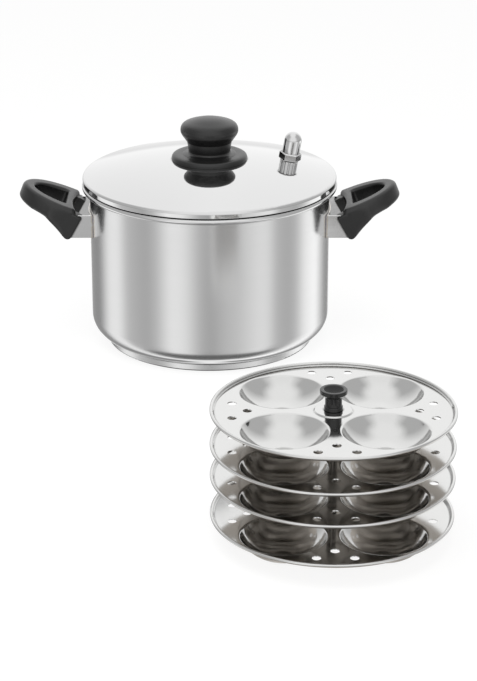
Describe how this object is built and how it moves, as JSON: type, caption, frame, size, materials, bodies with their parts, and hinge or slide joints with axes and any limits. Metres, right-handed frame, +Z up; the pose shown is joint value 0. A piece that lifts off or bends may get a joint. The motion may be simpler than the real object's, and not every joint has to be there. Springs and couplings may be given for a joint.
{
  "type": "idli steamer",
  "caption": "Stainless steel idli steamer: lidded pot with black bakelite knob and grips, a steel steam weight, and its lift-out rack of round idli plates on a rod.",
  "frame": {"origin": "centre of the pot's base, on the surface that it stands on", "axes": "+Z up; the two grips lie along X and the steam vent is towards +X; the rack stands in front, towards -Y"},
  "size_m": [0.3652, 0.6361, 0.2101],
  "materials": {
    "mirror_steel": "mirror polished stainless steel",
    "bakelite": "satin black bakelite",
    "aluminium": "as rolled",
    "brass": "turned",
    "silicone": "matte"
  },
  "bodies": {
    "pot": {"pot_body": "mirror_steel", "base_core": "aluminium", "base_cap": "mirror_steel", "bracket_left": "mirror_steel", "bracket_right": "mirror_steel", "grip_left": "bakelite", "grip_right": "bakelite", "grip_screws_left": "mirror_steel", "grip_screws_right": "mirror_steel"},
    "lid": {"lid_shell": "mirror_steel", "lid_inner_ring": "mirror_steel", "lid_knob": "bakelite", "knob_insert": "brass", "knob_screw": "mirror_steel", "knob_washer": "mirror_steel", "vent_stem": "mirror_steel", "vent_gasket": "silicone", "vent_nut": "mirror_steel"},
    "steam_weight": {"vent_cap": "mirror_steel", "vent_collar": "mirror_steel"},
    "rack": {"rack_rod": "mirror_steel", "rod_nut": "mirror_steel", "rod_washer": "mirror_steel", "spacer_1": "mirror_steel", "spacer_2": "mirror_steel", "spacer_3": "mirror_steel", "rack_collar": "bakelite"},
    "rack_knob": {"rack_knob": "bakelite", "rack_insert": "brass"},
    "plate_1": {"idli_plate_1": "mirror_steel"},
    "plate_2": {"idli_plate_2": "mirror_steel"},
    "plate_3": {"idli_plate_3": "mirror_steel"},
    "plate_4": {"idli_plate_4": "mirror_steel"}
  },
  "joints": [
    {"name": "lid_lift", "type": "slide", "parent": "pot", "child": "lid", "axis": [0, 0, 1], "range_m": [0, 0.2]},
    {"name": "steam_weight_lift", "type": "slide", "parent": "lid", "child": "steam_weight", "axis": [0.1653, -0.0612, 0.9843], "range_m": [0, 0.03]},
    {"name": "rack_lift", "type": "slide", "parent": "pot", "child": "rack", "axis": [0, 0, 1], "range_m": [0, 0.2]},
    {"name": "rack_knob_turn", "type": "hinge", "parent": "rack", "child": "rack_knob", "pos_m": [0.09765, -0.42596, 0.1067], "axis": [0, 0, 1], "continuous": true},
    {"name": "plate_1_turn", "type": "hinge", "parent": "rack", "child": "plate_1", "pos_m": [0.09765, -0.42596, 0.0174], "axis": [0, 0, 1], "continuous": true},
    {"name": "plate_2_turn", "type": "hinge", "parent": "rack", "child": "plate_2", "pos_m": [0.09765, -0.42596, 0.0489], "axis": [0, 0, 1], "continuous": true},
    {"name": "plate_3_turn", "type": "hinge", "parent": "rack", "child": "plate_3", "pos_m": [0.09765, -0.42596, 0.0743], "axis": [0, 0, 1], "continuous": true},
    {"name": "plate_4_turn", "type": "hinge", "parent": "rack", "child": "plate_4", "pos_m": [0.09765, -0.42596, 0.1022], "axis": [0, 0, 1], "continuous": true}
  ]
}
